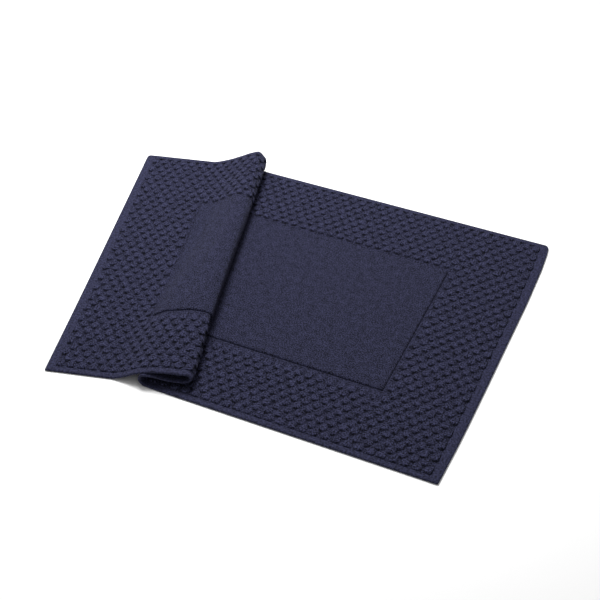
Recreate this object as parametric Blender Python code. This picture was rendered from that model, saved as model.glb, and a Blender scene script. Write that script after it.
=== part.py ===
"""Terry bath mat, lying with one end folded back over itself in a Z.

The mat is one woven cloth: a plain terry panel framed by a wide border of raised bumps,
with a narrow turned hem down each long side and a wider one across each end.
The base lies on the floor.  At the left the cloth turns up and over (left turn), comes back
towards the right face down (middle), turns up and over again (right turn) and slopes down to
the left onto the floor (ramp and flap).  Each turn is cut into stretches of cloth that hinge on
straight lines in the middle of the cloth's thickness, so the whole fold can open out flat.

Frame: metres, +Z up, +X along the mat towards the end that lies flat, +Y across it.
The origin is on the floor, in the middle of the base.
"""

import math

import bmesh
import bpy
import numpy as np

# Driving sizes, in metres and radians.
WIDTH = 0.500  # across the flat cloth
LENGTH = 0.700  # along the flat cloth
BORDER = 0.118  # edge of the cloth to the plain panel
SIDE_HEM = 0.008  # turned hem down each long side
END_HEM = 0.013  # turned hem across each end
BORDER_THICK = 0.006  # back of the cloth to the tops of the bumps
PANEL_THICK = 0.005  # the plain panel is sunk a little below the bumps
HEM_THICK = 0.004
THREAD_THICK = 0.0005
THREAD_WIDTH = 0.0012
THREAD_INSET = 0.0015  # inner edge of a hem to its seam
GAP = 0.0003  # clearance between neighbouring stretches

BASE_REACH = 0.4120  # flat end to the left turn, along the front edge
FOLD_FRONT = 0.0680  # left turn to right turn, at the front edge
FOLD_BACK = 0.0057  # left turn to right turn, at the back edge
TAKE_UP = 0.0877  # cloth held between the two turns, at the front edge
SLIP = 0.0046  # the flap lies this much further back than the middle
TURN_FREE = math.radians(40)  # a turn's stretch of cloth is cut back by this at its hinges
NEXT_FREE = math.radians(60)  # and its neighbours by this, so that the turn can open out
MIDDLE_FREE = math.radians(52)
CREST_FREE = math.radians(50)
FOOT_FREE = math.radians(10)  # at the foot of the ramp
OPEN_SIDE_FREE = math.radians(4)  # on the side of a hinge that only opens

SKEW = math.atan((FOLD_FRONT - FOLD_BACK) / WIDTH)  # the left turn against the flat end
FLAP = LENGTH - BASE_REACH - TAKE_UP  # tip of the flap to the right turn
HALF_THICK = BORDER_THICK / 2
BASE_END = BASE_REACH / 2 + 0.0015

ALONG = np.array([math.cos(2 * SKEW), math.sin(2 * SKEW), 0.0])  # along the flap, to the right
ACROSS = np.array([-math.sin(2 * SKEW), math.cos(2 * SKEW), 0.0])  # across the flap, to the back

# The folded section, from the flat end to the flap's tip, in millimetres, at four stations
# across the mat: front edge, front of the panel, back of the panel, back edge.
# "base" points are measured from the left turn towards the flat end, "middle" points from the
# left turn along the middle layer, "flap" points from the right turn towards the tip.
# A hinge line is straight, so it has only its values at the front edge and at the back edge.
SECTION = [
    # name, measured in, distances, heights of the middle of the cloth
    ("run_in", "base", (38, 37, 36, 34), (3, 3, 3, 3)),
    ("floor", "base", (13, 12.5, 12, 10), (3, 3, 3, 3)),
    ("hinge_1", "base", (2.5, 2.5), (5.2, 4.9)),
    ("left", "base", (0, 0, 0, 0), (10, 9.5, 8.3, 8)),
    ("hinge_2", "middle", (1.9, 0.5), (15, 11)),
    ("left_top", "middle", (10.5, 10.5, 5.4, 1.5), (18.6, 17.6, 14.2, 12.8)),
    ("dip", "middle", (44, 36, 13, 2.6), (12, 12.6, 14.4, 14.5)),
    ("hinge_3", "middle", (65.5, 3.6), (13.6, 16.3)),
    ("right", "flap", (-2.6, 0.9, -0.6, -0.1), (19, 20.4, 20.4, 20.4)),
    ("hinge_4", "flap", (0, 2.4), (24, 27)),
    ("top", "flap", (18.4, 20.4, 12.4, 9.4), (26.2, 30.5, 30.5, 33)),
    ("brow", "flap", (48.4, 42.4, 24.4, 22.4), (26, 27, 26.5, 29.5)),
    ("slope", "flap", (72.4, 66.4, 40.4, 39.4), (22.3, 21.5, 17, 21)),
    ("rise", "flap", (90.4, 81.4, 54.4, 59.4), (11.5, 11, 8, 11.5)),
    ("hinge_5", "flap", (108.4, 84.4), (3.2, 3.2)),
    ("lying", "flap", (138, 138, 138, 138), (3, 3, 3, 3)),
]
SQUARE = (0, 0)  # an end that no hinge closes on
TRIM_STEP = 0.00005  # how finely a surface is cut back at a hinge
KNOTS = ["end", "run"] + [row[0] for row in SECTION] + ["tip"]
SLIP_KNOTS = [KNOTS.index("left"), KNOTS.index("top")]  # the cloth slips back between these
TIP_INSET = (0, 1.5, 3, 3.5)  # the flap's tip is drawn in a little towards the back, in millimetres

# Colours, as sRGB hex.
NAVY_BORDER = 0x2A2B3F
NAVY_PANEL = 0x36374B
NAVY_HEM = 0x303147
NAVY_THREAD = 0x3C3D55


def smooth_curve(knots, points, at):
    """A curve through the points, with slopes taken from their neighbours."""
    slopes = np.gradient(points, knots, axis=0)
    i = np.clip(np.searchsorted(knots, at, side="right") - 1, 0, len(knots) - 2)
    step = knots[i + 1] - knots[i]
    x = (at - knots[i]) / step
    if points.ndim > 1:
        step, x = step[:, None], x[:, None]
    ends = points[i] * (1 + 2 * x) * (1 - x) ** 2 + points[i + 1] * x * x * (3 - 2 * x)
    return ends + step * (slopes[i] * x * (1 - x) ** 2 - slopes[i + 1] * x * x * (1 - x))


def across_mat(values, v):
    """A value at v across the mat, in metres, from its values in millimetres at the stations."""
    if len(values) == 2:
        return (values[0] + (values[1] - values[0]) * v / WIDTH) / 1000
    stations = np.array([0, BORDER, WIDTH - BORDER, WIDTH])
    return smooth_curve(stations, np.array(values, float), np.array([v]))[0] / 1000


def section_points(v):
    """The points that the middle of the cloth passes through, at v from the front edge."""
    turn = np.array([BASE_END - BASE_REACH - math.tan(SKEW) * v, v - WIDTH / 2, 0.0])
    front = np.array([BASE_END - BASE_REACH, -WIDTH / 2, 0.0])
    crest = front + FOLD_FRONT * ALONG + v * ACROSS
    up = np.array([0, 0, 1.0])
    points = [np.array([BASE_END, v - WIDTH / 2, HALF_THICK])]
    points.append(points[0] - [BASE_REACH / 2, 0, 0])
    for name, where, distances, heights in SECTION:
        distance = across_mat(distances, v)
        height = across_mat(heights, v) - 0.003 + HALF_THICK
        if where == "base":
            point = turn + [distance, 0, 0]
        elif where == "middle":
            point = turn + distance * ALONG
        else:
            point = crest - distance * ALONG
        slip = SLIP * np.interp(KNOTS.index(name), SLIP_KNOTS, [0, 1])
        points.append(point + slip * ACROSS + height * up)
    tip = crest - (FLAP - across_mat(TIP_INSET, v)) * ALONG + SLIP * ACROSS
    points.append(tip + HALF_THICK * up)
    return np.array(points)


class Section:
    """The cloth's middle at one distance from the front edge, measured by length along it."""

    FINE = 40  # samples between two neighbouring points

    def __init__(self, v):
        points = section_points(v)
        chords = np.linalg.norm(np.diff(points, axis=0), axis=1)
        knots = np.concatenate([[0], np.cumsum(chords)])
        self.place = np.linspace(0, len(points) - 1, (len(points) - 1) * self.FINE + 1)
        at = np.interp(self.place, np.arange(len(points)), knots)
        self.path = smooth_curve(knots, points, at)
        self.path[:, 2] = np.maximum(self.path[:, 2], HALF_THICK)
        steps = np.linalg.norm(np.diff(self.path, axis=0), axis=1)
        self.length = np.concatenate([[0], np.cumsum(steps)])

    def at_knot(self, name):
        """Length along the cloth from the flat end to a named point."""
        return self.length[KNOTS.index(name) * self.FINE]

    def point(self, length):
        return np.array([np.interp(length, self.length, self.path[:, k]) for k in range(3)])

    def tangent(self, length):
        step = 0.0004
        ahead = self.point(min(length + step, self.length[-1]))
        behind = self.point(max(length - step, 0))
        return (ahead - behind) / np.linalg.norm(ahead - behind)

    def line_along(self, length):
        """Direction of the line across the cloth, level with the folds."""
        to_flap = np.interp(length, [self.at_knot("floor"), self.at_knot("left_top")], [0, 2 * SKEW])
        return np.array([-math.sin(to_flap), math.cos(to_flap), 0.0])

    def normal(self, length):
        """Out of the face of the cloth: up on the base and the flap, down on the middle."""
        out = np.cross(self.line_along(length), self.tangent(length))
        return out / np.linalg.norm(out)


def section(v, made={}):
    key = round(v, 7)
    if key not in made:
        made[key] = Section(v)
    return made[key]


def hinge_line(name):
    """The two ends of a hinge line, at the front edge and at the back edge."""
    place = KNOTS.index(name)
    return section_points(0)[place], section_points(WIDTH)[place]


# Where a stretch of cloth begins or ends: a function of v that gives the length from the flat end.
def at_length(length):
    return lambda v: length


def before_tip(length):
    return lambda v: section(v).length[-1] - length


def at_hinge(name):
    return lambda v: section(v).at_knot(name)


def clear_of_hinge(cloth, hinge, way, surface, closing):
    """Length at which a surface may start, so that it never meets the other side of a hinge.

    surface is 1 for one on the face of the cloth and -1 for one on its back.  closing is
    (side, angle): the side that closes as the hinge opens out, and the angle left free there.
    """
    side, angle = closing
    if side == 0:
        return hinge
    if side != surface:
        angle = OPEN_SIDE_FREE
    offset = surface * HALF_THICK
    pivot, out = cloth.point(hinge), surface * cloth.normal(hinge)
    length = hinge
    while True:
        length += way * TRIM_STEP
        arm = cloth.point(length) + offset * cloth.normal(length) - pivot
        if arm @ out <= math.cos(angle) * np.linalg.norm(arm):
            return length


def nose_ends(surfaces, closings):
    """Which ends of a slab run out in a nose on a hinge line: those of a slab as deep as it."""
    deep = surfaces[0] < 0 < surfaces[1]
    return [deep and closing[0] != 0 for closing in closings]


def slab_rings(start, end, v_values, steps, surfaces, closings):
    """Closed outlines of a stretch of cloth, one at each v.

    surfaces are the offsets of its lower and upper surface from the middle of the cloth.
    A slab that reaches through the middle ends in a nose on each hinge line.
    """
    low, high = surfaces
    noses = nose_ends(surfaces, closings)
    rings = []
    for v in v_values:
        cloth = section(v)
        a = start(v) + GAP / 2
        b = end(v) - GAP / 2
        upper, lower = (
            np.linspace(
                clear_of_hinge(cloth, a, 1, math.copysign(1, offset), closings[0]),
                clear_of_hinge(cloth, b, -1, math.copysign(1, offset), closings[1]),
                steps + 1,
            )
            for offset in (high, low)
        )
        ring = [cloth.point(s) + high * cloth.normal(s) for s in upper]
        if noses[1]:
            ring.append(cloth.point(b))
        ring += [cloth.point(s) + low * cloth.normal(s) for s in lower[::-1]]
        if noses[0]:
            ring.append(cloth.point(a))
        rings.append(ring)
    return rings


def cap_faces(steps, noses):
    """Corner numbers of the faces that fill one outline, strip by strip."""
    count = steps + 1
    last = 2 * count + sum(noses) - 1 - noses[0]
    faces = [(k, k + 1, last - k - 1, last - k) for k in range(steps)]
    if noses[1]:
        faces.append((steps, count, count + 1))
    if noses[0]:
        faces.append((last, last + 1, 0))
    return faces


def loft(name, rings, steps, noses, origin, material):
    """A closed solid through equal outlines, with its two ends filled."""
    mesh = bpy.data.meshes.new(name)
    bm = bmesh.new()
    rows = [[bm.verts.new(point - origin) for point in ring] for ring in rings]
    count = len(rows[0])
    start_edges = range(count - 1 - noses[0], count)
    for first, second in zip(rows, rows[1:]):
        for k in range(count):
            after = (k + 1) % count
            quad = (first[k], first[after], second[after], second[k])
            if k in start_edges:  # split like the end that it faces on its neighbour
                quad = quad[1:] + quad[:1]
            bm.faces.new(quad)
    for corners in cap_faces(steps, noses):
        bm.faces.new([rows[0][k] for k in reversed(corners)])
        bm.faces.new([rows[-1][k] for k in corners])
    bmesh.ops.triangulate(bm, faces=bm.faces[:], quad_method="FIXED")
    if bm.calc_volume(signed=True) < 0:
        bmesh.ops.reverse_faces(bm, faces=bm.faces[:])
    bm.to_mesh(mesh)
    bm.free()
    mesh.materials.append(material)
    return bpy.data.objects.new(name, mesh)


def linear(hex_colour):
    """sRGB hex to a linear RGBA colour."""
    parts = [(hex_colour >> shift & 255) / 255 for shift in (16, 8, 0)]
    return [c / 12.92 if c <= 0.04045 else ((c + 0.055) / 1.055) ** 2.4 for c in parts] + [1]


def cloth_material(name, hex_colour, roughness):
    material = bpy.data.materials.new(name)
    material.use_nodes = True
    shader = material.node_tree.nodes["Principled BSDF"]
    shader.inputs["Base Color"].default_value = linear(hex_colour)
    shader.inputs["Roughness"].default_value = roughness
    shader.inputs["Metallic"].default_value = 0
    material.diffuse_color = linear(hex_colour)
    return material


def v_steps(low, high, count):
    return [low + (high - low) * k / count for k in range(count + 1)]


class Body:
    """One stretch of the mat that moves as one, between two hinge lines."""

    def __init__(self, name, start, end, steps, closings, hinge, parent):
        self.name, self.start, self.end, self.steps = name, start, end, steps
        self.closings = closings
        self.empty = bpy.data.objects.new(name + "_hinge" if hinge else name + "_origin", None)
        self.origin = np.zeros(3)
        if hinge:
            self.origin = sum(hinge_line(hinge)) / 2
        if parent:
            self.empty.parent = parent.empty
            self.empty.location = self.origin - parent.origin
        bpy.context.scene.collection.objects.link(self.empty)

    def piece(self, name, v_values, surfaces, material, start=None, end=None):
        """A strip of this body, through outlines at these distances from the front edge."""
        closings = (SQUARE if start else self.closings[0], SQUARE if end else self.closings[1])
        rings = slab_rings(
            start or self.start,
            end or self.end,
            [v_values[0] + GAP / 2, *v_values[1:-1], v_values[-1] - GAP / 2],
            self.steps,
            surfaces,
            closings,
        )
        noses = nose_ends(surfaces, closings)
        solid = loft(name, rings, self.steps, noses, self.origin, material)
        solid.parent = self.empty
        bpy.context.scene.collection.objects.link(solid)
        return solid


def make_bodies():
    turn, crest, foot = (-1, TURN_FREE), (1, CREST_FREE), (-1, FOOT_FREE)
    hinges = [at_hinge(f"hinge_{k}") for k in range(1, 6)]
    first, last = at_length(-GAP / 2), before_tip(-GAP / 2)
    plan = [
        # name, start, end, steps along it, which side closes at its ends
        ("base", first, hinges[0], 12, (SQUARE, (-1, NEXT_FREE))),
        ("left_turn", hinges[0], hinges[1], 3, (turn, turn)),
        ("middle", hinges[1], hinges[2], 6, ((-1, NEXT_FREE), (1, MIDDLE_FREE))),
        ("right_turn", hinges[2], hinges[3], 3, (crest, crest)),
        ("ramp", hinges[3], hinges[4], 10, ((1, NEXT_FREE), foot)),
        ("flap", hinges[4], last, 4, (foot, SQUARE)),
    ]
    bodies = {}
    parent = None
    for k, (name, start, end, steps, closings) in enumerate(plan):
        hinge = f"hinge_{k}" if k else None
        parent = Body(name, start, end, steps, closings, hinge, parent)
        bodies[name] = parent
    return bodies


def side_rows(side):
    """Distances from the front edge at which a side hem and its seam have outlines."""
    inner = SIDE_HEM - THREAD_INSET
    hem, seam = [0, inner - THREAD_WIDTH, inner, SIDE_HEM], [inner - THREAD_WIDTH, inner]
    if side == "back":
        return [WIDTH - v for v in reversed(hem)], [WIDTH - v for v in reversed(seam)]
    return hem, seam


def make_strips(body, materials, border_ends=(None, None), panel_ends=(None, None)):
    """The side hems, their seams, the borders and the panel on one body."""
    border, panel, hem, thread = materials
    hem_top = HEM_THICK - HALF_THICK
    layers = dict(
        border=(-HALF_THICK, BORDER_THICK - HALF_THICK),
        panel=(-HALF_THICK, PANEL_THICK - HALF_THICK),
        hem=(-HALF_THICK, hem_top),
        thread=(hem_top + GAP, hem_top + GAP + THREAD_THICK),
    )
    for side in ("front", "back"):
        hem_values, seam_values = side_rows(side)
        border_values = v_steps(SIDE_HEM, BORDER, 3)
        if side == "back":
            border_values = [WIDTH - v for v in reversed(border_values)]
        start, end = border_ends
        body.piece(f"hem_{side}_{body.name}", hem_values, layers["hem"], hem, start, end)
        body.piece(f"seam_{side}_{body.name}", seam_values, layers["thread"], thread, start, end)
        body.piece(f"border_{side}_{body.name}", border_values, layers["border"], border, start, end)
    start, end = panel_ends
    middle = v_steps(BORDER, WIDTH - BORDER, 4)
    body.piece(f"panel_{body.name}", middle, layers["panel"], panel, start, end)
    return layers


def make_mat():
    border = cloth_material("terry_bumps", NAVY_BORDER, 0.95)
    panel = cloth_material("terry_plain", NAVY_PANEL, 0.95)
    hem = cloth_material("flat_woven_hem", NAVY_HEM, 0.9)
    thread = cloth_material("sewing_thread", NAVY_THREAD, 0.7)
    materials = (border, panel, hem, thread)
    bodies = make_bodies()
    base, ramp, flap = bodies["base"], bodies["ramp"], bodies["flap"]
    hem_in, hem_out = at_length(END_HEM), before_tip(END_HEM)
    panel_in, panel_out = at_length(BORDER), before_tip(BORDER)

    layers = make_strips(base, materials, (hem_in, None), (panel_in, None))
    for name in ("left_turn", "middle", "right_turn"):
        make_strips(bodies[name], materials)
    make_strips(ramp, materials, (None, None), (None, panel_out))

    whole = v_steps(0, WIDTH, 6)
    inside = v_steps(BORDER, WIDTH - BORDER, 4)
    within = v_steps(SIDE_HEM, WIDTH - SIDE_HEM, 6)
    flat_end, tip = at_length(-GAP / 2), before_tip(-GAP / 2)
    seam_in = END_HEM - THREAD_INSET
    base.steps = 1
    base.piece("border_right_end", inside, layers["border"], border, hem_in, panel_in)
    base.piece("hem_right_end", whole, layers["hem"], hem, flat_end, hem_in)
    seam = (at_length(seam_in - THREAD_WIDTH), at_length(seam_in))
    base.piece("seam_right_end", within, layers["thread"], thread, *seam)

    ramp.steps = 2
    ramp.piece("border_inner_ramp", inside, layers["border"], border, panel_out, None)

    for side in ("front", "back"):
        hem_values, seam_values = side_rows(side)
        flap.piece(f"hem_{side}_flap", hem_values, layers["hem"], hem, None, hem_out)
        flap.piece(f"seam_{side}_flap", seam_values, layers["thread"], thread, None, hem_out)
    flap.piece("border_left_end", within, layers["border"], border, None, hem_out)
    flap.steps = 1
    flap.piece("hem_left_end", whole, layers["hem"], hem, hem_out, tip)
    seam = (before_tip(seam_in), before_tip(seam_in - THREAD_WIDTH))
    flap.piece("seam_left_end", within, layers["thread"], thread, *seam)


def clear_scene():
    for item in list(bpy.data.objects):
        bpy.data.objects.remove(item, do_unlink=True)


clear_scene()
make_mat()
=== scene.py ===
"""Terry bath mat with one end folded back over itself: its cloth, hems and stitches."""

import math

import bpy
import numpy as np
from bpy.props import FloatProperty, FloatVectorProperty, PointerProperty
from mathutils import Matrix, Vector


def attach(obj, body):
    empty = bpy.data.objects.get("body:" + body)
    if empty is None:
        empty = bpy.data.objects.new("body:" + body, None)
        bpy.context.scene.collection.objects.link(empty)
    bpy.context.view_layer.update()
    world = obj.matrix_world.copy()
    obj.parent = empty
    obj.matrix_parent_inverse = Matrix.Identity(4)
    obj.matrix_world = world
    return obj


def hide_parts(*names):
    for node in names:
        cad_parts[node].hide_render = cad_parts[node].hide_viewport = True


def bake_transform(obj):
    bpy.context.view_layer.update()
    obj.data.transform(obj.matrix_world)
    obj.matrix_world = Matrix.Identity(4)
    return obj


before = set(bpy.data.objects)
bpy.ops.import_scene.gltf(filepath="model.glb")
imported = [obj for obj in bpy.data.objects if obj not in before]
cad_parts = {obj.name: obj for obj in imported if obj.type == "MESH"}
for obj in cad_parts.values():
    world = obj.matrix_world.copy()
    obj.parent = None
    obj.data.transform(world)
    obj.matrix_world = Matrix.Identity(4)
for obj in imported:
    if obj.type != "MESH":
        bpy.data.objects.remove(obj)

bl_info = {
    "name": "Folded bath mat",
    "version": (1, 0, 0),
    "blender": (4, 5, 0),
    "location": "3D View > Sidebar > Bath mat",
    "description": "Weaves a terry bath mat with a bumpy border, folded back at one end",
    "category": "Add Mesh",
}

MM = 0.001

# The mat's own sizes, in metres, as in its CAD.
WIDTH = 0.500
LENGTH = 0.700
BORDER = 0.118
SIDE_HEM = 0.008
END_HEM = 0.013
HALF_THICK = 0.003
BASE_REACH = 0.4120
FOLD_FRONT = 0.0680
FOLD_BACK = 0.0057
TAKE_UP = 0.0877
SLIP = 0.0046
BASE_END = BASE_REACH / 2 + 0.0015
FLAP = LENGTH - BASE_REACH - TAKE_UP
SKEW = math.atan((FOLD_FRONT - FOLD_BACK) / WIDTH)
ALONG = np.array([math.cos(2 * SKEW), math.sin(2 * SKEW), 0.0])
ACROSS = np.array([-math.sin(2 * SKEW), math.cos(2 * SKEW), 0.0])
STATIONS = np.array([0, BORDER, WIDTH - BORDER, WIDTH])

# The folded section, from the flat end to the flap's tip, in millimetres: where each point is
# measured, its distances at the stations across the mat, and the heights of the cloth's middle.
SECTION = [
    ("run_in", "base", (38, 37, 36, 34), (3, 3, 3, 3)),
    ("floor", "base", (13, 12.5, 12, 10), (3, 3, 3, 3)),
    ("hinge_1", "base", (2.5, 2.5), (5.2, 4.9)),
    ("left", "base", (0, 0, 0, 0), (10, 9.5, 8.3, 8)),
    ("hinge_2", "middle", (1.9, 0.5), (15, 11)),
    ("left_top", "middle", (10.5, 10.5, 5.4, 1.5), (15.6, 16.6, 14.2, 12.8)),
    ("dip", "middle", (44, 36, 13, 2.6), (11, 12.4, 14.4, 14.5)),
    ("hinge_3", "middle", (65.5, 6.4), (13.6, 16.3)),
    ("right", "flap", (-2.6, 0.9, -1.4, -1.8), (19, 20.4, 20.4, 20.4)),
    ("hinge_4", "flap", (0, 2.4), (24, 27)),
    ("top", "flap", (18.4, 20.4, 12.4, 9.4), (25.2, 30.5, 30.5, 33)),
    ("brow", "flap", (48.4, 42.4, 24.4, 22.4), (23.8, 27, 26.5, 29.5)),
    ("slope", "flap", (72.4, 66.4, 40.4, 39.4), (18.3, 20.5, 17, 21)),
    ("rise", "flap", (90.4, 81.4, 54.4, 59.4), (9.8, 11, 8, 11.5)),
    ("hinge_5", "flap", (108.4, 84.4), (3.2, 3.2)),
    ("lying", "flap", (138, 138, 138, 138), (3, 3, 3, 3)),
]
TIP_INSET = (0, 1.5, 3, 3.5)
KNOTS = ["end", "run"] + [row[0] for row in SECTION] + ["tip"]
SLIP_KNOTS = [KNOTS.index("left"), KNOTS.index("top")]

# How far the flat end bows outwards, in millimetres, at these distances from the front edge.
BOW_AT = (0, 0.06, 0.1, 0.18, 0.25, 0.365, 0.44, 0.48, 0.5)
BOW = (0, 2.4, 3.4, 4.5, 5.0, 6.0, 4.8, 2.6, 0.0)
BOW_DEPTH = 0.16
CREASED = (KNOTS.index("top"), KNOTS.index("hinge_5"))
CREASE = 0.0013  # soft creases stand up to twice this high where the cloth slopes down
CREASE_SIZE = 0.034
CREASE_MARGIN = 0.1  # the creases fade out over this distance from each side
DRAWN_OUT = 0.007  # the flap's cloth is drawn this much wider by its lifted back edge

# The weave, laid out flat: p along the mat from the flat end, v across it from the front edge.
WEAVE_LENGTH = 0.70485
BUMPS_FROM = 0.0135  # the flat end to the first column of bumps
COLUMN = 0.007616  # one column of bumps
COLUMNS = 89
ROW = 0.01117  # neighbouring columns are this far out of step, and bumps twice this apart
FIRST_ROW = 0.0154
BUMP_LOOPS = 0.0021  # the loops are about a millimetre; their grain is drawn coarser, to show
PANEL_LOOPS = 0.0016
BUMP_END = 0.0074  # from the middle of a bump to its steep end, towards the front edge
BUMP_LENGTH = 0.0152  # from the steep end to where the bump has sunk back into the ground
PAINTED_SHADE_HALF_WIDTH = 0.0013  # half the width of the painted shade line along a bump's steep end
PLAIN = 0.0065  # plain strip between the panel and the first bumps
BUMP_HALF_WIDTH = 0.0054
BUMP_RISE = 0.0013  # the steep end rises over this distance
END_CURVE = 0.0020  # the steep end's sides lie this far behind its middle
ASTRAY_P, ASTRAY_V = 0.0009, 0.0012  # how far bumps stray from their places, side to side
GROUND = 0.0034  # back of the cloth to the border's ground weave
GROOVE_DEPTH, GROOVE_HALF_WIDTH = 0.0009, 0.0014  # the sunk line beside the panel
PANEL_FOOT, PANEL_RISE, PANEL_ROUND = 0.0026, 0.0024, 0.0012  # its edge, crown and radius

# The stretches of the cloth between the middles of the bodies: the knots where each begins and
# ends, and the bodies that it hangs between.
STRETCHES = [
    ("base", "end", "run_in", "base", None),
    ("left_fold", "run_in", "left", "base", "left_turn"),
    ("left_top", "left", "dip", "left_turn", "middle"),
    ("right_fold", "dip", "right", "middle", "right_turn"),
    ("crest", "right", "brow", "right_turn", "ramp"),
    ("flap", "brow", "tip", "ramp", "flap"),
]
HINGES = {
    "left_turn": "hinge_1",
    "middle": "hinge_2",
    "right_turn": "hinge_3",
    "ramp": "hinge_4",
    "flap": "hinge_5",
}
# The unseen underside keeps one grid line in this many, on the base and in the fold.
BASE_COARSE, FOLD_COARSE = 5, 2


def srgb(hex_colour):
    """sRGB hex to a linear colour."""
    parts = [(hex_colour >> shift & 255) / 255 for shift in (16, 8, 0)]
    return [c / 12.92 if c <= 0.04045 else ((c + 0.055) / 1.055) ** 2.4 for c in parts]


class MatSizes(bpy.types.PropertyGroup):
    bump_height: FloatProperty(
        name="Bump height",
        description="Height of the border's bumps above the ground weave",
        default=0.0025,
        unit="LENGTH",
    )
    grid: FloatProperty(
        name="Border grid",
        description="Spacing of the mesh that carries the bumps",
        default=0.0010,
        unit="LENGTH",
    )
    panel_grid: FloatProperty(
        name="Panel grid",
        description="Spacing of the mesh of the plain panel",
        default=0.0016,
        unit="LENGTH",
    )
    stitch: FloatProperty(
        name="Stitch length",
        description="Length of one stitch along the hems",
        default=0.0032,
        unit="LENGTH",
    )


class MatColours(bpy.types.PropertyGroup):
    border: FloatVectorProperty(
        name="Border",
        description="Colour of the border's pile",
        default=srgb(0x26273B),
        subtype="COLOR",
        size=3,
    )
    panel: FloatVectorProperty(
        name="Panel",
        description="Colour of the panel's pile",
        default=srgb(0x222335),
        subtype="COLOR",
        size=3,
    )
    hem: FloatVectorProperty(
        name="Hem",
        description="Colour of the flat-woven hems",
        default=srgb(0x27283D),
        subtype="COLOR",
        size=3,
    )
    thread: FloatVectorProperty(
        name="Thread",
        description="Colour of the sewing thread",
        default=srgb(0x2B2C42),
        subtype="COLOR",
        size=3,
    )


# The fold.


def smooth_curve(knots, points, at):
    """A curve through the points, with slopes taken from their neighbours."""
    slopes = np.gradient(points, knots, axis=0)
    i = np.clip(np.searchsorted(knots, at, side="right") - 1, 0, len(knots) - 2)
    step = knots[i + 1] - knots[i]
    x = (at - knots[i]) / step
    if points.ndim > 1:
        step, x = step[:, None], x[:, None]
    ends = points[i] * (1 + 2 * x) * (1 - x) ** 2 + points[i + 1] * x * x * (3 - 2 * x)
    return ends + step * (slopes[i] * x * (1 - x) ** 2 - slopes[i + 1] * x * x * (1 - x))


def ease(x):
    """From 0 to 1, starting and ending gently."""
    x = np.clip(x, 0, 1)
    return x * x * (3 - 2 * x)


def across_mat(values, v):
    """A value at v from the front edge, in metres, from two or four across the mat in mm."""
    if len(values) == 2:
        return (values[0] + (values[1] - values[0]) * v / WIDTH) * MM
    return smooth_curve(STATIONS, np.array(values, float), np.array([v]))[0] * MM


def section_points(v):
    """The points that the middle of the cloth passes through, at v from the front edge."""
    turn = np.array([BASE_END - BASE_REACH - math.tan(SKEW) * v, v - WIDTH / 2, 0.0])
    front = np.array([BASE_END - BASE_REACH, -WIDTH / 2, 0.0])
    crest = front + FOLD_FRONT * ALONG + v * ACROSS
    up = np.array([0, 0, 1.0])
    points = [np.array([BASE_END, v - WIDTH / 2, HALF_THICK])]
    points.append(points[0] - [BASE_REACH / 2, 0, 0])
    for name, where, distances, heights in SECTION:
        distance = across_mat(distances, v)
        height = across_mat(heights, v)
        if where == "base":
            point = turn + [distance, 0, 0]
        elif where == "middle":
            point = turn + distance * ALONG
        else:
            point = crest - distance * ALONG
        slip = SLIP * np.interp(KNOTS.index(name), SLIP_KNOTS, [0, 1])
        points.append(point + slip * ACROSS + height * up)
    tip = crest - (FLAP - across_mat(TIP_INSET, v)) * ALONG + SLIP * ACROSS
    points.append(tip + HALF_THICK * up)
    return np.array(points)


class Line:
    """The cloth's middle along the mat, at one distance from the front edge."""

    FINE = 40  # samples between two neighbouring knots

    def __init__(self, v):
        points = section_points(v)
        chords = np.linalg.norm(np.diff(points, axis=0), axis=1)
        knots = np.concatenate([[0], np.cumsum(chords)])
        self.place = np.linspace(0, len(points) - 1, (len(points) - 1) * self.FINE + 1)
        at = np.interp(self.place, np.arange(len(points)), knots)
        self.path = smooth_curve(knots, points, at)
        self.path[:, 2] = np.maximum(self.path[:, 2], HALF_THICK)
        steps = np.linalg.norm(np.diff(self.path, axis=0), axis=1)
        self.length = np.concatenate([[0], np.cumsum(steps)])
        self.path[:, 0] += np.interp(v, BOW_AT, BOW) * MM * (1 - ease(self.length / BOW_DEPTH))
        drawn_out = np.interp(self.place, [SLIP_KNOTS[0], SLIP_KNOTS[1], self.place[-1]], [0, 0.6, 1])
        self.path += (drawn_out * DRAWN_OUT * (max(v, 0) / WIDTH) ** 1.3)[:, None] * ACROSS
        slope = ease(self.place - CREASED[0]) * ease(CREASED[1] - self.place)
        slope = slope * ease(v / CREASE_MARGIN) * ease((WIDTH - v) / CREASE_MARGIN)
        self.path[:, 2] += CREASE * slope * (1 + mottle(self.length, v, CREASE_SIZE, 41))

    def at_knot(self, name):
        return self.length[KNOTS.index(name) * self.FINE]

    def points(self, lengths):
        return np.stack([np.interp(lengths, self.length, self.path[:, k]) for k in range(3)], -1)


def line(v, made={}):
    """The line at v, worked out once and kept."""
    key = round(v, 7)
    if key not in made:
        made[key] = Line(v)
    return made[key]


def cloth(v_values, lengths):
    """Points on the middle of the cloth and its normals, for lengths[k] along the line at v_values[k]."""
    step = 0.0008
    points = np.empty(lengths.shape + (3,))
    normals = np.empty_like(points)
    for k, v in enumerate(v_values):
        along = lengths[k]
        here = line(v)
        points[k] = here.points(along)
        ahead, behind = (
            here.points(np.clip(along + s, 0, here.length[-1])) for s in (step, -step)
        )
        front, back = (
            line(w).points(along * line(w).length[-1] / here.length[-1])
            for w in (v - step, v + step)
        )
        out = np.cross(back - front, ahead - behind)
        normals[k] = out / np.linalg.norm(out, axis=1)[:, None]
    return points, normals


def weave_place(v, lengths):
    """Where these lengths fall along the weave: any slack is taken up inside the fold."""
    here = line(v)
    start, end = here.at_knot("floor"), here.at_knot("top")
    return lengths + (WEAVE_LENGTH - here.length[-1]) * ease((lengths - start) / (end - start))


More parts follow.
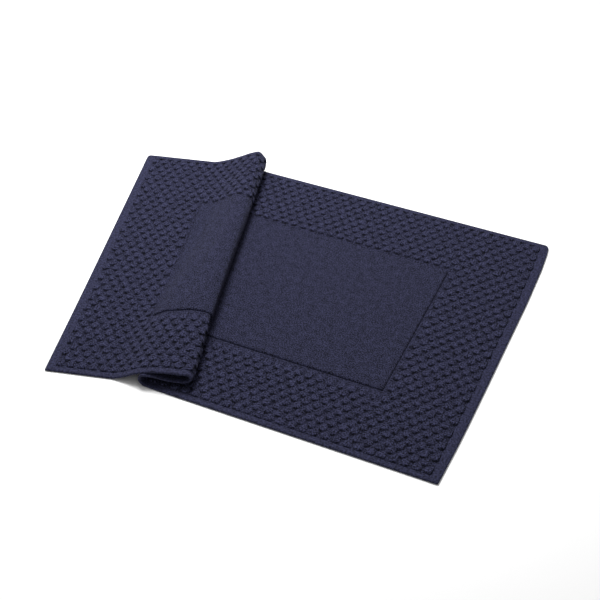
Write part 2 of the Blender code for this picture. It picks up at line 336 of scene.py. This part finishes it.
def hinge_share(v, lengths, hinge):
    """How far each length has gone over to the body beyond the hinge, from 0 to 1."""
    here = line(v)
    place = np.interp(lengths, here.length, here.place)
    return ease((place - KNOTS.index(hinge) + 1) / 2)


# The weave.


def chance(i, j, seed):
    """The same number from 0 to 1 for the same two whole numbers."""
    x = np.sin(i * 127.1 + j * 311.7 + seed * 74.7) * 43758.5453
    return x - np.floor(x)


def mottle(p, v, size, seed):
    """Soft random heights from -1 to 1, in patches of this size."""
    x, y = p / size, v / size
    i, j = np.floor(x), np.floor(y)
    fx, fy = ease(x - i), ease(y - j)
    low = chance(i, j, seed) * (1 - fx) + chance(i + 1, j, seed) * fx
    high = chance(i, j + 1, seed) * (1 - fx) + chance(i + 1, j + 1, seed) * fx
    return 2 * (low * (1 - fy) + high * fy) - 1


def bumps(p, v):
    """How high the bumps stand, from 0 to 1, and how dark the painted shade is along their steep ends."""
    column = np.floor((p - BUMPS_FROM) / COLUMN)
    height, painted_end_shade = np.zeros_like(p), np.zeros_like(p)
    for shift in (-1, 0, 1):
        c = column + shift
        odd = np.mod(c, 2) * ROW
        row = np.round((v - FIRST_ROW - odd) / (2 * ROW))
        centre_p = BUMPS_FROM + (c + 0.5) * COLUMN
        centre_v = FIRST_ROW + odd + 2 * ROW * row
        inner_p = (centre_p > BORDER - PLAIN) & (centre_p < WEAVE_LENGTH - BORDER + PLAIN)
        inner_v = (centre_v > BORDER - PLAIN) & (centre_v < WIDTH - BORDER + PLAIN)
        there = (c >= 0) & (c < COLUMNS) & ~(inner_p & inner_v)
        centre_p += (chance(c, row, 1) - 0.5) * ASTRAY_P
        centre_v += (chance(c, row, 2) - 0.5) * ASTRAY_V
        wide = BUMP_HALF_WIDTH * (0.94 + 0.12 * chance(c, row, 4))
        aside = np.clip(np.abs(p - centre_p) / wide, 0, 1)
        in_from_end = v - centre_v + BUMP_END - END_CURVE * aside**2
        face = ease(in_from_end / BUMP_RISE) ** 0.8
        length = BUMP_LENGTH * (0.92 + 0.16 * chance(c, row, 3))
        tail = (1 - np.clip(in_from_end / length, 0, 1) ** 1.7) ** 0.7
        pile = face * tail * (1 - aside**5) ** 0.45 * (0.84 + 0.16 * chance(c, row, 5))
        pile = np.where(row < 0, pile * 0.6 * ease((v - SIDE_HEM) / 0.005), pile)
        # painted shade: a dark line along each bump's steep end, where its near wall would fall in shade
        painted_end_shade_line = np.exp(-(((in_from_end - 0.0001) / PAINTED_SHADE_HALF_WIDTH) ** 2)) * (1 - aside**6) * there
        height = np.maximum(height, np.where(there, pile, 0))
        painted_end_shade = np.maximum(painted_end_shade, painted_end_shade_line * (row >= 0))
    return height, painted_end_shade * np.clip(1.5 - 1.5 * height, 0, 1)


def edge_distance(p, v, margin):
    """Distance inside the rectangle that lies this far in from the edges of the weave."""
    return np.minimum(
        np.minimum(p - margin, WEAVE_LENGTH - margin - p), np.minimum(v - margin, WIDTH - margin - v)
    )


def border_top(p, v, bump_height):
    """Height of the border's face above the cloth's middle, and how light it is drawn: painted shade
    darkens the ground between bumps, and their steep ends most.
    """
    ground = GROUND - HALF_THICK
    pile, painted_end_shade = bumps(p, v)
    pile = pile * ease(edge_distance(p, v, SIDE_HEM) / 0.0015)
    # the painted shade at the steep ends fades out towards the side hem
    painted_end_shade = painted_end_shade * (0.3 + 0.7 * ease((v - SIDE_HEM) / 0.004))
    to_panel = -edge_distance(p, v, BORDER)
    sunk = (v < BORDER + 0.001) | (p < BORDER + 0.001)
    groove = GROOVE_DEPTH * ease(1 - np.abs(to_panel - 0.0002) / GROOVE_HALF_WIDTH) * sunk
    fuzz = 0.0002 * mottle(p, v, 0.0019, 8) + 0.00016 * mottle(p, v, 0.0033, 9)
    fuzz = fuzz * (0.3 + pile)
    # the ground between bumps gets painted shade, down to 0.68, and the steep ends darker still
    return ground + pile * bump_height + fuzz - groove, (0.68 + 0.32 * pile) * (1 - 0.95 * painted_end_shade)


def panel_top(p, v):
    """Height of the panel's face above the cloth's middle."""
    inside = np.clip(edge_distance(p, v, BORDER) / PANEL_ROUND, 0, 1)
    crown = np.sqrt(1 - (1 - inside) ** 2)
    fuzz = 0.00024 * mottle(p, v, 0.0024, 18) + 0.00008 * mottle(p, v, 0.0047, 19)
    return PANEL_FOOT - HALF_THICK + PANEL_RISE * crown + fuzz * crown


# Meshes.

UNDERSIDE_PILE = 0.9
FLAT_PILE = 0.5  # for cloth and thread with no pile


def closed_sheet(name, top, bottom, coarse, uv, pile):
    """A closed sheet of cloth between two grids; the lower one keeps every coarse-th line."""
    rows, cols = top.shape[:2]
    keep_rows = sorted(set(range(0, rows, coarse)) | {rows - 1})
    keep_cols = sorted(set(range(0, cols, coarse)) | {cols - 1})
    under = bottom[np.ix_(keep_rows, keep_cols)]
    above = np.arange(rows * cols).reshape(rows, cols)
    below = above.size + np.arange(under.shape[0] * under.shape[1]).reshape(under.shape[:2])
    faces = []

    def quads(grid, flip):
        around = [grid[:-1, :-1], grid[1:, :-1], grid[1:, 1:], grid[:-1, 1:]]
        if flip:
            around = around[::-1]
        return np.stack([c.ravel() for c in around], -1).tolist()

    faces += quads(above, True) + quads(below, False)
    cloth_faces = len(faces)

    def wall(edge, foot, kept, flip):
        for a, b, i, j in zip(foot, foot[1:], kept, kept[1:]):
            middle = (i + j + 1) // 2
            fans = [(edge[k], a, edge[k + 1]) for k in range(i, middle)]
            fans += [(edge[k], b, edge[k + 1]) for k in range(middle, j)]
            fans.append((a, b, edge[middle]))
            faces.extend(f[::-1] if flip else f for f in fans)

    wall(above[0], below[0], keep_cols, False)
    wall(above[-1], below[-1], keep_cols, True)
    wall(above[:, 0], below[:, 0], keep_rows, True)
    wall(above[:, -1], below[:, -1], keep_rows, False)
    mesh = bpy.data.meshes.new(name)
    points = np.concatenate([top.reshape(-1, 3), under.reshape(-1, 3)])
    mesh.from_pydata(points.tolist(), [], faces)
    smooth = np.zeros(len(faces), bool)
    smooth[:cloth_faces] = True
    mesh.polygons.foreach_set("use_smooth", smooth)
    uv_below = uv[np.ix_(keep_rows, keep_cols)].reshape(-1, 2)
    coordinates = np.concatenate([uv.reshape(-1, 2), uv_below])
    # the top carries the border's painted shade from border_top
    lightness_and_painted_shade = np.concatenate([pile.ravel(), np.full(len(uv_below), UNDERSIDE_PILE)])
    weave_attributes(mesh, coordinates, lightness_and_painted_shade)
    return mesh


def weave_attributes(mesh, uv, pile):
    """Places on the flat weave, in metres, as the UV map, and how light the pile is drawn, with its
    painted shade, as an attribute.
    """
    vertices = np.empty(len(mesh.loops), np.int32)
    mesh.loops.foreach_get("vertex_index", vertices)
    layer = mesh.uv_layers.new(name="weave")
    layer.data.foreach_set("uv", uv[vertices].astype(np.float32).ravel())
    attribute = mesh.attributes.new("pile", "FLOAT", "POINT")
    attribute.data.foreach_set("value", pile.astype(np.float32))
    mesh.update()


def tube(name, rings, uv):
    """A closed solid through equal outlines; its ends and inner wall stay flat-shaded."""
    count, around = rings.shape[:2]
    number = np.arange(count * around).reshape(count, around)
    after = np.roll(number, -1, axis=1)
    quads = np.stack([number[:-1], after[:-1], after[1:], number[1:]], -1).reshape(-1, 4)
    faces = quads.tolist() + [number[0][::-1].tolist(), number[-1].tolist()]
    mesh = bpy.data.meshes.new(name)
    mesh.from_pydata(rings.reshape(-1, 3).tolist(), [], faces)
    smooth = np.ones(len(faces), bool)
    smooth[-2:] = False
    smooth[around - 1 : -2 : around] = False
    mesh.polygons.foreach_set("use_smooth", smooth)
    weave_attributes(mesh, uv.reshape(-1, 2), np.full(count * around, FLAT_PILE))
    return mesh


def outward(mesh):
    """Turns a closed mesh the right way out."""
    mesh.calc_loop_triangles()
    triangles = np.empty(len(mesh.loop_triangles) * 3, np.int32)
    mesh.loop_triangles.foreach_get("vertices", triangles)
    points = np.empty(len(mesh.vertices) * 3)
    mesh.vertices.foreach_get("co", points)
    a, b, c = points.reshape(-1, 3)[triangles.reshape(-1, 3)].transpose(1, 0, 2)
    if (np.cross(a, b) * c).sum() < 0:
        mesh.flip_normals()
    return mesh


def put_on_mat(mesh, stretch, material, nodes):
    """Makes the mesh a piece of the mat: a piece of the flat base is attached to its body, any other is
    left fixed where it lies.
    """
    _, _, _, near, far = stretch
    piece = bpy.data.objects.new(mesh.name, outward(mesh))
    bpy.context.scene.collection.objects.link(piece)
    mesh.materials.append(material)
    if far is None:
        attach(piece, near)
    else:
        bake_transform(piece)
    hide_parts(*nodes)
    return piece


def spaced(start, end, spacing):
    """Shares of the way from start to end, close enough that no step is over the spacing."""
    widest = np.max(np.abs(end - start))
    return np.linspace(0, 1, max(2, int(math.ceil(widest / spacing)) + 1))


def knot_lengths(v_values, name):
    return np.array([line(v).at_knot(name) for v in v_values])


# The pieces.

SIDES = ("front", "back")

# A hem in section: distance in from the edge, as a share of the hem's width, and height above the
# cloth's middle in millimetres, from the inner edge below, round the outside, to the one on top.
HEM_SECTION = [
    (1.0, -3.0), (0.6, -3.0), (0.2, -3.0), (0.06, -2.7), (0.012, -2.2), (0.0, -1.5), (0.012, -0.8),
    (0.06, -0.2), (0.14, 0.15), (0.25, 0.3), (0.4, 0.35), (0.55, 0.38), (0.65, 0.36), (0.72, 0.3),
    (0.78, 0.3), (0.85, 0.36), (0.92, 0.4), (1.0, 0.42),
]
SEAM_AT = 0.75  # how far across the hem its stitches run
THREAD_RADIUS = 0.00026
STITCH_GAP = 0.0007
THREAD_SIDES = 6
THREAD_LIFT = 0.0002  # the thread's middle above the middle of the cloth
# One stitch: place along it, thickness as a share of the thread's, and how far it lifts.
STITCH = ((-0.5, 0.35, -0.0002), (-0.4, 0.85, 0), (0, 1, 0.00012), (0.4, 0.85, 0), (0.5, 0.35, -0.0002))
HEM_GRID = 0.0022
HEM_SWELL, SWELL_SIZE = 0.00012, 0.009  # how uneven a hem's top is, and over what distance
END_HEM_LINES = 248
CORNER_RADII = (0.0015, 0.006)  # the mat's front and back corners


def side_values(side, values):
    """Distances from the front edge, for distances from this side's own edge."""
    return values if side == "front" else WIDTH - values[::-1]


def stretch_ends(stretch, v_values, first, last):
    """Lengths at which a stretch starts and ends, less these margins at the ends of the mat."""
    _, start, end, _, _ = stretch
    starts = np.full(len(v_values), first) if start == "end" else knot_lengths(v_values, start)
    ends = knot_lengths(v_values, end) - (last if end == "tip" else 0)
    return starts, ends


def weave_grid(v_values, lengths):
    """Places on the flat weave, along it and across it."""
    p = np.array([weave_place(v, row) for v, row in zip(v_values, lengths)])
    return p, np.repeat(np.asarray(v_values)[:, None], lengths.shape[1], axis=1)


def shares(stretch, v_values, lengths):
    """How far each point has gone over to the stretch's second body."""
    far = stretch[4]
    if far is None:
        return np.zeros(lengths.shape)
    return np.array([hinge_share(v, row, HINGES[far]) for v, row in zip(v_values, lengths)])


def cloth_piece(name, stretch, v_values, starts, ends, spacing, top_of):
    """A closed sheet of the cloth between these lengths, its face shaped by top_of."""
    t = spaced(starts, ends, spacing)
    lengths = starts[:, None] + (ends - starts)[:, None] * t
    points, normals = cloth(v_values, lengths)
    p, v = weave_grid(v_values, lengths)
    top, pile = top_of(p, v)
    coarse = BASE_COARSE if stretch[0] == "base" else FOLD_COARSE
    upper = points + normals * top[..., None]
    lower = points - normals * HALF_THICK
    mesh = closed_sheet(name, upper, lower, coarse, np.stack([p, v], -1), pile)
    share = shares(stretch, v_values, lengths)
    rows = sorted(set(range(0, len(v_values), coarse)) | {len(v_values) - 1})
    cols = sorted(set(range(0, len(t), coarse)) | {len(t) - 1})
    share = np.concatenate([share.ravel(), share[np.ix_(rows, cols)].ravel()])
    sides = np.diff(points, axis=1)[:-1], np.diff(points, axis=0)[:, :-1]
    area = float(np.linalg.norm(np.cross(*sides), axis=-1).sum())
    flat = (float(v_values[-1] - v_values[0]), float(np.max(ends - starts)))
    return mesh, share, flat, min(area, flat[0] * flat[1])


def side_hem(name, stretch, side):
    """The rolled hem along one side of a stretch."""
    section = np.array(HEM_SECTION)
    v_values = side_values(side, section[:, 0] * SIDE_HEM)
    heights = section[:, 1] if side == "front" else section[::-1, 1]
    starts, ends = stretch_ends(stretch, v_values, END_HEM, END_HEM)
    t = spaced(starts, ends, HEM_GRID)
    lengths = starts[:, None] + (ends - starts)[:, None] * t
    points, normals = cloth(v_values, lengths)
    p, v = weave_grid(v_values, lengths)
    swell = HEM_SWELL * mottle(p, v, SWELL_SIZE, 31) * (heights[:, None] > 0)
    rings = points + normals * (heights[:, None] * MM + swell)[..., None]
    mesh = tube(name, rings.transpose(1, 0, 2), np.stack([p, v], -1).transpose(1, 0, 2))
    return mesh, shares(stretch, v_values, lengths).T.ravel()


def corner_cut(v):
    """How far the rounded corners cut into the ends of the mat, at v from the front edge."""
    cut = np.zeros_like(v)
    for radius, inwards in zip(CORNER_RADII, (v, WIDTH - v)):
        x = np.clip(1 - inwards / radius, 0, 1)
        cut = np.maximum(cut, radius * (1 - np.sqrt(1 - x * x)))
    return cut


def end_hem(name, stretch, tip):
    """The wider hem across one end of the mat."""
    section = np.array(HEM_SECTION)
    edge = np.array([0, 0.0003, 0.0009, 0.0018])
    inner = np.linspace(0.003, WIDTH - 0.003, END_HEM_LINES)
    v_values = np.concatenate([edge, inner, WIDTH - edge[::-1]])
    cut = corner_cut(v_values)
    depth = cut[:, None] + section[:, 0] * (END_HEM - cut[:, None])
    total = np.array([line(v).length[-1] for v in v_values])
    lengths = total[:, None] - depth if tip else depth
    points, normals = cloth(v_values, lengths)
    p, v = weave_grid(v_values, lengths)
    inwards = np.minimum(v_values, WIDTH - v_values)
    thin = np.sqrt(1 - np.clip(1 - inwards / 0.002, 0, 0.93) ** 2)[:, None]
    heights = (-1.5 + (section[:, 1] + 1.5) * thin) * MM
    heights = heights + HEM_SWELL * mottle(p, v, SWELL_SIZE, 32) * (section[:, 1] > 0)
    rings = points + normals * heights[..., None]
    mesh = tube(name, rings, np.stack([p, v], -1))
    return mesh, shares(stretch, v_values, lengths).ravel()


def stitches(name, centres, ends, normals, share, uv):
    """A row of stitches: a short thread through each centre, towards its end."""
    turns = np.arange(THREAD_SIDES) * math.tau / THREAD_SIDES
    last_ring = (len(STITCH) - 1) * THREAD_SIDES
    size_of_one = len(STITCH) * THREAD_SIDES
    along = ends - centres
    across = np.cross(along, normals)
    across /= np.linalg.norm(across, axis=1)[:, None]
    rings, faces, count = [], [], 0
    for k in range(len(centres)):
        for part, size, lift in STITCH:
            middle = centres[k] + along[k] * part + normals[k] * lift
            for turn in turns:
                out = across[k] * math.cos(turn) + normals[k] * math.sin(turn) * 0.8
                rings.append(middle + out * THREAD_RADIUS * size)
        for ring in range(count, count + last_ring, THREAD_SIDES):
            for corner in range(THREAD_SIDES):
                a, b = ring + corner, ring + (corner + 1) % THREAD_SIDES
                faces.append((a, b, b + THREAD_SIDES, a + THREAD_SIDES))
        faces.append(tuple(range(count + THREAD_SIDES - 1, count - 1, -1)))
        faces.append(tuple(range(count + last_ring, count + size_of_one)))
        count += size_of_one
    mesh = bpy.data.meshes.new(name)
    mesh.from_pydata([list(point) for point in rings], [], faces)
    mesh.polygons.foreach_set("use_smooth", np.ones(len(faces), bool))
    weave_attributes(mesh, np.repeat(uv, size_of_one, axis=0), np.full(count, FLAT_PILE))
    return mesh, np.repeat(share, size_of_one)


def seam_points(v_values, lengths, along_v, size):
    """Centres, ends and normals of stitches at one length on each line, or along one line."""
    points, normals = cloth(v_values, lengths)
    if along_v:
        ahead, _ = cloth(v_values + size, lengths)
    else:
        ahead, _ = cloth(v_values, lengths + size)
    lift = normals * THREAD_LIFT
    return points + lift, ahead + lift, normals


def side_seam(name, stretch, side, size):
    """The stitches along one side of a stretch."""
    v = float(side_values(side, np.array([SEAM_AT * SIDE_HEM]))[0])
    starts, ends = stretch_ends(stretch, [v], END_HEM, END_HEM)
    pitch = size + STITCH_GAP
    count = max(1, int((ends[0] - starts[0]) / pitch))
    lengths = starts[0] + (np.arange(count) + 0.5)[None] * (ends[0] - starts[0]) / count
    centres, tips, normals = (a[0] for a in seam_points(np.array([v]), lengths, False, size))
    uv = np.stack([weave_place(v, lengths[0]), np.full(count, v)], -1)
    share = shares(stretch, [v], lengths)[0]
    return stitches(name, centres, tips, normals, share, uv)


def end_seam(name, stretch, tip, size):
    """The stitches across one end of the mat."""
    pitch = size + STITCH_GAP
    count = int((WIDTH - 2 * SIDE_HEM) / pitch)
    v_values = SIDE_HEM + (np.arange(count) + 0.5) * (WIDTH - 2 * SIDE_HEM) / count
    depth = SEAM_AT * END_HEM
    lengths = np.full((count, 1), depth)
    if tip:
        lengths = np.array([[line(v).length[-1] - depth] for v in v_values])
    centres, tips, normals = (a[:, 0] for a in seam_points(v_values, lengths, True, size))
    uv = np.stack([lengths[:, 0], v_values], -1)
    share = shares(stretch, v_values, lengths)[:, 0]
    return stitches(name, centres, tips, normals, share, uv)


# Materials.

BROAD_PATCH = 0.009  # terry's slow change of tone
NAP = 0.0022
HEM_PATCH = 0.0026
RIB_SCALE = 1 / 0.0048  # ribs 2.1 mm apart, measured across them
TWIST = 0.0008


def node(tree, kind, links=None, **settings):
    """Adds a shader node, with its settings, and its inputs linked or set."""
    made = tree.nodes.new(kind)
    for name, value in settings.items():
        setattr(made, name, value)
    for name, value in (links or {}).items():
        if isinstance(value, bpy.types.NodeSocket):
            tree.links.new(value, made.inputs[name])
        else:
            made.inputs[name].default_value = value
    return made


def cloth_shader(name, colour, roughness, sheen):
    """A woven cotton's shader and where it lies on the flat weave, in metres."""
    material = bpy.data.materials.new(name)
    material.use_nodes = True
    tree = material.node_tree
    shader = tree.nodes["Principled BSDF"]
    shader.inputs["Roughness"].default_value = roughness
    shader.inputs["IOR"].default_value = 1.5
    shader.inputs["Specular IOR Level"].default_value = 0.1
    shader.inputs["Sheen Weight"].default_value = sheen
    shader.inputs["Sheen Roughness"].default_value = 0.45
    shader.inputs["Sheen Tint"].default_value = (*[0.15 + 3 * c for c in colour], 1)
    place = node(tree, "ShaderNodeUVMap", uv_map="weave")
    material.diffuse_color = (*colour, 1)
    return material, tree, shader, place


def shaded(tree, shader, colour, factor, low, high):
    """Takes the shader's colour from low to high times the cloth's colour."""
    mix = node(tree, "ShaderNodeMix", data_type="RGBA")
    tree.links.new(factor, mix.inputs[0])
    mix.inputs[6].default_value = (*[c * low for c in colour], 1)
    mix.inputs[7].default_value = (*[c * high for c in colour], 1)
    tree.links.new(mix.outputs[2], shader.inputs["Base Color"])


def terry(name, colour, loops):
    """Cotton terry: uncut loops of about a millimetre, which scatter light like felt.

    The eye gets a matt, slightly speckled nap that lightens where it is seen along the surface.
    The pile attribute darkens it with painted shade: in the ground between bumps, and most along their
    steep ends.
    """
    material, tree, shader, place = cloth_shader(name, colour, 0.95, 0.12)
    fine = node(
        tree,
        "ShaderNodeTexNoise",
        {"Vector": place.outputs[0], "Scale": 1 / loops, "Detail": 3.0},
    )
    broad = node(
        tree,
        "ShaderNodeTexNoise",
        {"Vector": place.outputs[0], "Scale": 1 / BROAD_PATCH, "Detail": 2.0},
    )
    # the pile attribute holds painted shade: darker between the border's bumps and along their steep ends
    pile = node(tree, "ShaderNodeAttribute", attribute_name="pile")
    speckle = node(
        tree,
        "ShaderNodeMath",
        {0: broad.outputs[0], 1: 0.2, 2: fine.outputs[0]},
        operation="MULTIPLY_ADD",
    )
    spread = node(
        tree,
        "ShaderNodeMapRange",
        {"Value": speckle.outputs[0], "From Min": 0.48, "From Max": 0.74},
    )
    # the speckle times the painted shade
    factor = node(
        tree, "ShaderNodeMath", {0: spread.outputs[0], 1: pile.outputs["Fac"]}, operation="MULTIPLY"
    )
    shaded(tree, shader, colour, factor.outputs[0], 0.1, 2.5)
    nap = node(
        tree,
        "ShaderNodeBump",
        {"Height": fine.outputs[0], "Strength": 1.0, "Distance": NAP},
    )
    tree.links.new(nap.outputs[0], shader.inputs["Normal"])
    return material


def flat_weave(name, colour):
    """Flat-woven cotton, turned over and pressed: a close rib, drawn two millimetres apart to show.

    It has no loops, so it looks smoother and a little lighter than the terry beside it.
    """
    material, tree, shader, place = cloth_shader(name, colour, 0.85, 0.2)
    rib = node(
        tree,
        "ShaderNodeTexWave",
        {
            "Vector": place.outputs[0],
            "Scale": RIB_SCALE,
            "Distortion": 0.6,
            "Detail": 1.0,
        },
        bands_direction="DIAGONAL",
    )
    broad = node(
        tree,
        "ShaderNodeTexNoise",
        {"Vector": place.outputs[0], "Scale": 1 / HEM_PATCH, "Detail": 3.0},
    )
    spread = node(
        tree,
        "ShaderNodeMapRange",
        {"Value": broad.outputs[0], "From Min": 0.34, "From Max": 0.66},
    )
    shaded(tree, shader, colour, spread.outputs[0], 0.3, 1.7)
    ribs = node(
        tree,
        "ShaderNodeBump",
        {"Height": rib.outputs["Fac"], "Strength": 0.35, "Distance": 0.0003},
    )
    tree.links.new(ribs.outputs[0], shader.inputs["Normal"])
    return material


def twisted_thread(name, colour):
    """Polyester sewing thread: twisted, so a little smoother and brighter than the cotton."""
    material, tree, shader, place = cloth_shader(name, colour, 0.6, 0.1)
    broad = node(tree, "ShaderNodeTexNoise", {"Vector": place.outputs[0], "Scale": 1 / TWIST})
    shaded(tree, shader, colour, broad.outputs[0], 0.8, 1.25)
    return material


def made_once(kind, name, *values):
    """The material of this name, made by kind unless it is there already."""
    return bpy.data.materials.get(name) or kind(name, *values)


# Operators.


ENDS = (("right", STRETCHES[0], False), ("left", STRETCHES[-1], True))


def side_nodes(kind, side, stretch):
    """The CAD node that a side piece of this stretch stands for."""
    _, _, _, near, far = stretch
    body = far or near
    if kind == "border" and body == "flap":
        return ["border_left_end"]
    return [f"{kind}_{side}_{body}"]


class MAT_OT_hems(bpy.types.Operator):
    """Roll the narrow hems along the sides and the wider ones across the ends"""

    bl_idname = "mat.hems"
    bl_label = "Hems"

    def execute(self, context):
        cotton = made_once(flat_weave, "flat_woven_cotton_hem", context.scene.mat_colours.hem)
        for stretch in STRETCHES:
            for side in SIDES:
                mesh, share = side_hem(f"rolled_hem_{side}_{stretch[0]}", stretch, side)
                nodes = side_nodes("hem", side, stretch)
                put_on_mat(mesh, stretch, cotton, nodes)
        for end, stretch, tip in ENDS:
            mesh, share = end_hem(f"rolled_hem_{end}_end", stretch, tip)
            put_on_mat(mesh, stretch, cotton, [f"hem_{end}_end"])
        return {"FINISHED"}


class MAT_OT_stitches(bpy.types.Operator):
    """Sew a row of stitches along every hem"""

    bl_idname = "mat.stitches"
    bl_label = "Stitches"

    def execute(self, context):
        thread = made_once(twisted_thread, "twisted_sewing_thread", context.scene.mat_colours.thread)
        size = context.scene.mat_sizes.stitch
        for stretch in STRETCHES:
            for side in SIDES:
                mesh, share = side_seam(f"stitches_{side}_{stretch[0]}", stretch, side, size)
                nodes = side_nodes("seam", side, stretch)
                put_on_mat(mesh, stretch, thread, nodes)
        for end, stretch, tip in ENDS:
            mesh, share = end_seam(f"stitches_{end}_end", stretch, tip, size)
            put_on_mat(mesh, stretch, thread, [f"seam_{end}_end"])
        return {"FINISHED"}


class MAT_OT_borders(bpy.types.Operator):
    """Weave the bumpy borders along the sides and across the ends"""

    bl_idname = "mat.borders"
    bl_label = "Bumpy borders"

    def execute(self, context):
        sizes = context.scene.mat_sizes
        cotton = made_once(terry, "cotton_terry_bumps", context.scene.mat_colours.border, BUMP_LOOPS)

        def face(p, v):
            return border_top(p, v, sizes.bump_height)

        for stretch in STRETCHES:
            for side in SIDES:
                across = BORDER - SIDE_HEM
                v_values = side_values(side, SIDE_HEM + across * spaced(0, across, sizes.grid))
                starts, ends = stretch_ends(stretch, v_values, END_HEM, END_HEM)
                name = f"{side}_{stretch[0]}"
                mesh, share, flat, area = cloth_piece(
                    f"cloth_border_{name}", stretch, v_values, starts, ends, sizes.grid, face
                )
                nodes = side_nodes("border", side, stretch)
                piece = put_on_mat(mesh, stretch, cotton, nodes)
        across = WIDTH - 2 * BORDER
        v_values = BORDER + across * spaced(0, across, sizes.grid)
        totals = np.array([line(v).length[-1] for v in v_values])
        for end, stretch, tip in ENDS:
            near, far = np.full(len(v_values), END_HEM), np.full(len(v_values), BORDER)
            starts, ends = (totals - far, totals - near) if tip else (near, far)
            mesh, share, flat, area = cloth_piece(
                f"cloth_border_{end}_end", stretch, v_values, starts, ends, sizes.grid, face
            )
            nodes = ["border_left_end", "border_inner_ramp"] if tip else ["border_right_end"]
            piece = put_on_mat(mesh, stretch, cotton, nodes)
        return {"FINISHED"}


class MAT_OT_plain_panel(bpy.types.Operator):
    """Weave the plain panel in the middle of the mat"""

    bl_idname = "mat.plain_panel"
    bl_label = "Plain panel"

    def execute(self, context):
        grid = context.scene.mat_sizes.panel_grid
        cotton = made_once(terry, "cotton_terry_panel", context.scene.mat_colours.panel, PANEL_LOOPS)

        def face(p, v):
            return panel_top(p, v), np.ones_like(p)

        across = WIDTH - 2 * BORDER
        v_values = BORDER + across * spaced(0, across, grid)
        for stretch in STRETCHES:
            body = stretch[4] or stretch[3]
            starts, ends = stretch_ends(stretch, v_values, BORDER, BORDER)
            mesh, share, flat, area = cloth_piece(
                f"cloth_panel_{stretch[0]}", stretch, v_values, starts, ends, grid, face
            )
            nodes = ["panel_ramp"] if body == "flap" else [f"panel_{body}"]
            piece = put_on_mat(mesh, stretch, cotton, nodes)
        return {"FINISHED"}


class MAT_OT_stage(bpy.types.Operator):
    """Lay a plain pale floor, and set soft studio light and the camera"""

    bl_idname = "mat.stage"
    bl_label = "Floor, light and camera"

    def execute(self, context):
        scene = context.scene
        scene.view_settings.view_transform = "Standard"
        mesh = bpy.data.meshes.new("floor")
        reach = 6.0
        outline = [(-reach, -reach, 0), (reach, -reach, 0), (reach, reach, 0), (-reach, reach, 0)]
        mesh.from_pydata(outline, [], [(0, 1, 2, 3)])
        floor = bpy.data.objects.new("floor", mesh)
        floor.location.z = -0.0001  # just clear of the cloth's back
        scene.collection.objects.link(floor)
        paint = bpy.data.materials.new("matt_white_floor")
        paint.use_nodes = True
        matt = paint.node_tree.nodes["Principled BSDF"]
        matt.inputs["Base Color"].default_value = (0.93, 0.93, 0.93, 1)
        matt.inputs["Roughness"].default_value = 0.9
        mesh.materials.append(paint)

        world = bpy.data.worlds.new("studio")
        world.use_nodes = True
        world.node_tree.nodes["Background"].inputs["Color"].default_value = (1, 1, 1, 1)
        world.node_tree.nodes["Background"].inputs["Strength"].default_value = 0.30
        scene.world = world
        for name, place, size, power in (
            ("key_light", (-0.54, 0.42, 1.13), 0.6, 26),
            ("overhead_light", (0.0, 0.5, 2.4), 2.0, 8),
        ):
            light = bpy.data.lights.new(name, "AREA")
            light.size, light.energy = size, power
            lamp = bpy.data.objects.new(name, light)
            lamp.location = place
            lamp.rotation_euler = (-Vector(place)).to_track_quat("-Z", "Y").to_euler()
            scene.collection.objects.link(lamp)

        lens = bpy.data.cameras.new("camera")
        lens.lens, lens.sensor_width = 72.45, 36
        camera = bpy.data.objects.new("camera", lens)
        camera.location = (0.4420, -1.1800, 1.1314)
        target = Vector((-0.0825, -0.0095, 0.0))
        camera.rotation_euler = (target - camera.location).to_track_quat("-Z", "Y").to_euler()
        scene.collection.objects.link(camera)
        scene.camera = camera
        return {"FINISHED"}


class MAT_PT_sidebar(bpy.types.Panel):
    """Lists the mat's sizes, colours and operators"""

    bl_label = "Bath mat"
    bl_idname = "MAT_PT_sidebar"
    bl_space_type = "VIEW_3D"
    bl_region_type = "UI"
    bl_category = "Bath mat"

    def draw(self, context):
        for group in (context.scene.mat_sizes, context.scene.mat_colours):
            for name in group.__annotations__:
                self.layout.prop(group, name)
        for operator in OPERATORS:
            self.layout.operator(operator.bl_idname)


OPERATORS = (MAT_OT_hems, MAT_OT_stitches, MAT_OT_borders, MAT_OT_plain_panel, MAT_OT_stage)
CLASSES = (MatSizes, MatColours, *OPERATORS, MAT_PT_sidebar)


def register():
    for kind in CLASSES:
        bpy.utils.register_class(kind)
    bpy.types.Scene.mat_sizes = PointerProperty(type=MatSizes)
    bpy.types.Scene.mat_colours = PointerProperty(type=MatColours)


def unregister():
    del bpy.types.Scene.mat_colours
    del bpy.types.Scene.mat_sizes
    for kind in reversed(CLASSES):
        bpy.utils.unregister_class(kind)


def main():
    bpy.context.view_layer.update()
    register()
    bpy.ops.mat.hems()
    bpy.ops.mat.stitches()
    bpy.ops.mat.borders()
    bpy.ops.mat.plain_panel()
    bpy.ops.mat.stage()


if __name__ == "__main__":
    main()
